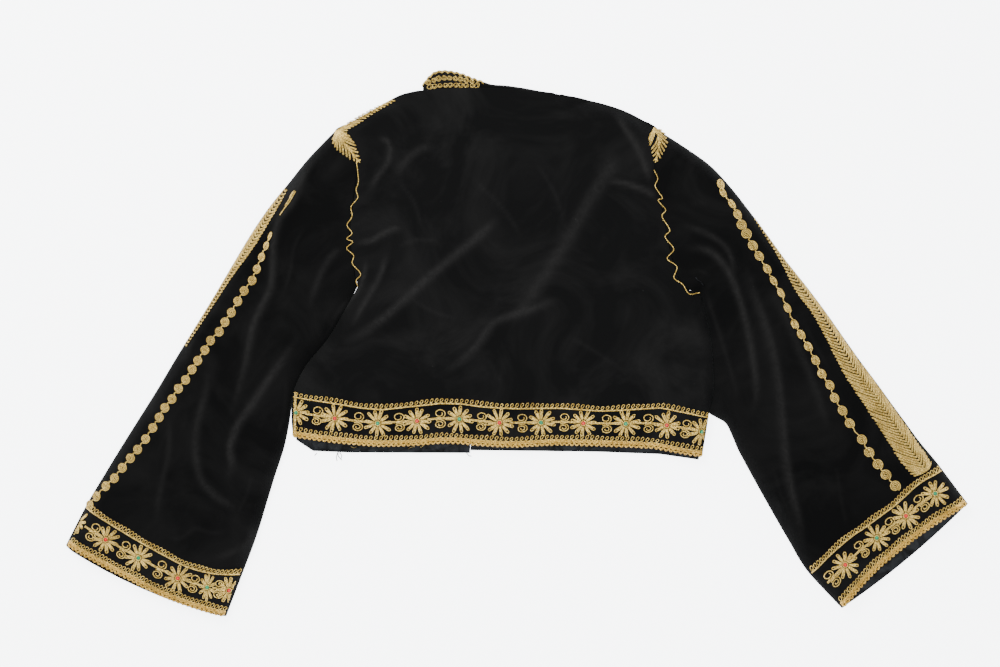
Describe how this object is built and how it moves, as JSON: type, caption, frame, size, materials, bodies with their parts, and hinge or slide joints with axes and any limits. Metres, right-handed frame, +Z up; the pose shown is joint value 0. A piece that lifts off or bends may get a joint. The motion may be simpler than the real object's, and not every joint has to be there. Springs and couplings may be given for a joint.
{
  "type": "matador jacket",
  "caption": "Cropped black velvet jacket with couched gold embroidery, laid flat on its front with the back uppermost, collar up and sleeves spread.",
  "frame": {"origin": "middle of the laid-out jacket's box, on the surface that it lies on", "axes": "+X from the wearer's left sleeve to the right one, +Y from the hem towards the collar, +Z up out of the back"},
  "size_m": [1.132, 0.6839, 0.0216],
  "materials": {
    "velvet": "black cotton velvet, short dense pile with a grey sheen on the folds",
    "lining": "black satin lining, seen below the hem and inside the cuffs",
    "gold_cord": "couched metallic gold cord, antique gold with a fine twist",
    "red_stone": "faceted red glass stones",
    "green_stone": "faceted green glass stones"
  },
  "bodies": {
    "root": {"back": "velvet", "front_left": "lining", "front_right": "lining", "sleeve_left_upper": "velvet", "sleeve_left_under": "velvet", "sleeve_right_upper": "velvet", "sleeve_right_under": "velvet", "collar": "velvet", "hem_band": "gold_cord", "cuff_band_left": "gold_cord", "cuff_band_right": "gold_cord", "disc_chain_left": "gold_cord", "disc_chain_right": "gold_cord", "feather_left": "gold_cord", "feather_right": "gold_cord", "shoulder_leaf_left": "gold_cord", "shoulder_leaf_right": "gold_cord", "collar_front_left": "velvet", "collar_front_right": "velvet"}
  },
  "joints": []
}
